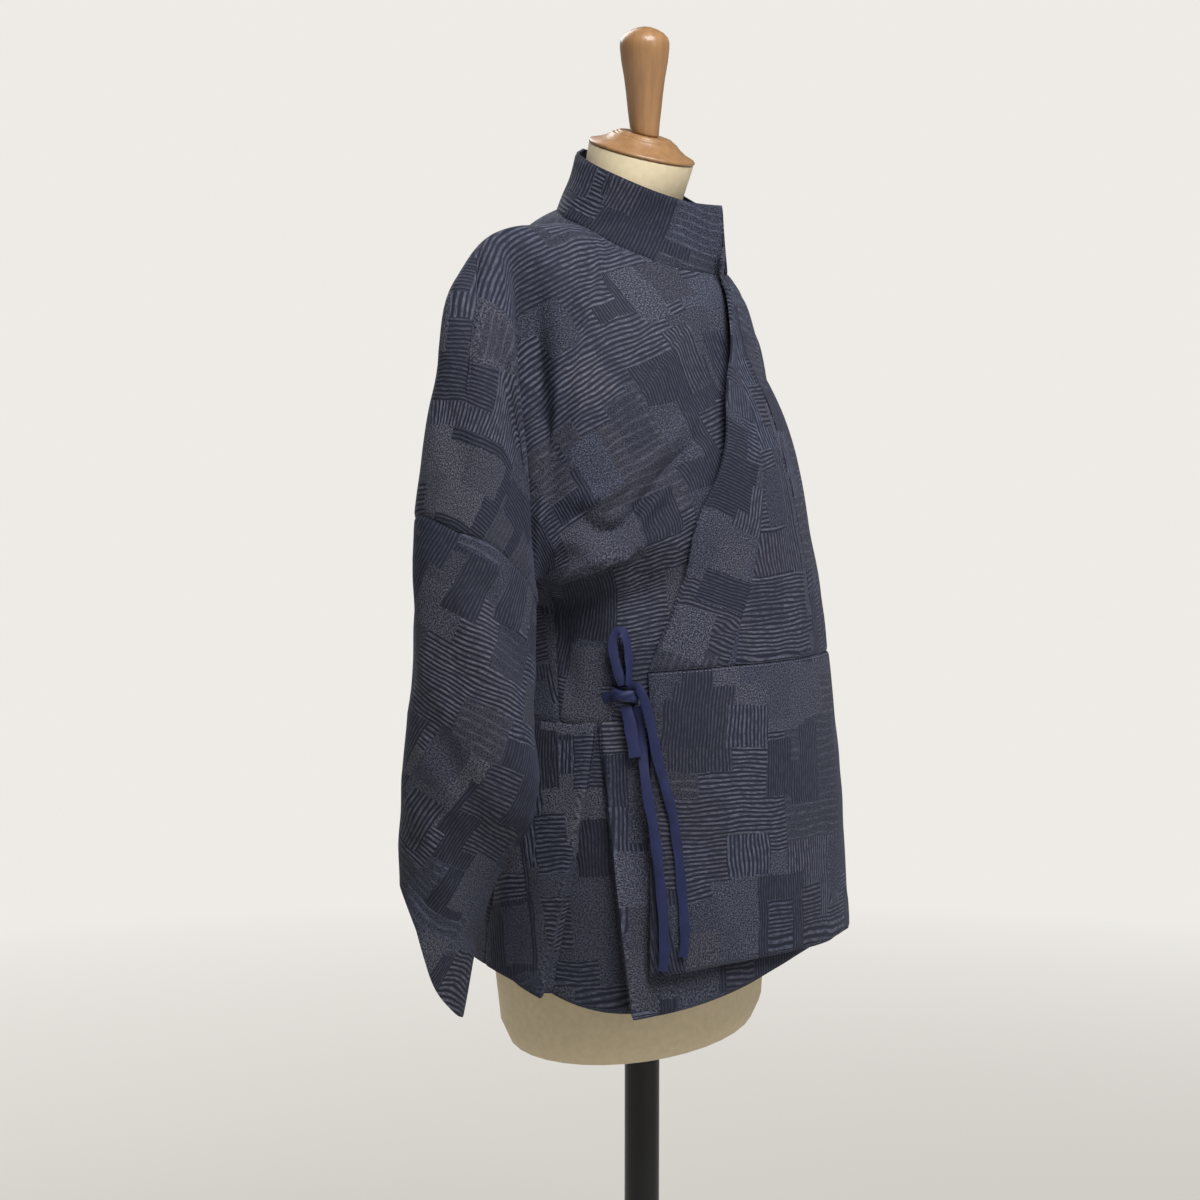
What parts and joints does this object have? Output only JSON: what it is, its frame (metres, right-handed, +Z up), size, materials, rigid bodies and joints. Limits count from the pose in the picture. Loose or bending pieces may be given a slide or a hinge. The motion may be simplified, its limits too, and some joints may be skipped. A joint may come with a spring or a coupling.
{
  "type": "hanfu-style wrap top on a limbless dress form",
  "caption": "Cross-over jacket with a stand collar, wide hanging sleeves, a pleated peplum and a ribbon side tie, worn by a limbless dress form on a round-based stand.",
  "frame": {"origin": "centre of the underside of the stand's base", "axes": "+Z up along the pole, the garment faces -Y, the wearer's right is -X"},
  "size_m": [0.6108, 0.373, 1.5811],
  "materials": {
    "jacquard": "matte woven cotton jacquard",
    "ribbon": "soft satin ribbon",
    "linen": "plain cream linen cover",
    "turned_wood": "clear lacquer",
    "stand_paint": "satin black"
  },
  "bodies": {
    "root": {"body_right": "jacquard", "body_left": "jacquard", "sleeve_right": "jacquard", "sleeve_left": "jacquard", "collar": "jacquard", "overlap_front": "jacquard", "overlap_band": "jacquard", "peplum_right_front": "jacquard", "peplum_back": "jacquard", "peplum_left_front": "jacquard", "tie_loop": "ribbon", "tie_long_front": "ribbon", "tie_short_end": "ribbon", "tie_long_back": "ribbon", "tie_root_side": "ribbon", "tie_knot": "ribbon", "form_torso": "linen", "neck_cap": "turned_wood", "neck_finial": "turned_wood", "stand_pole": "stand_paint", "stand_base": "stand_paint"}
  },
  "joints": []
}
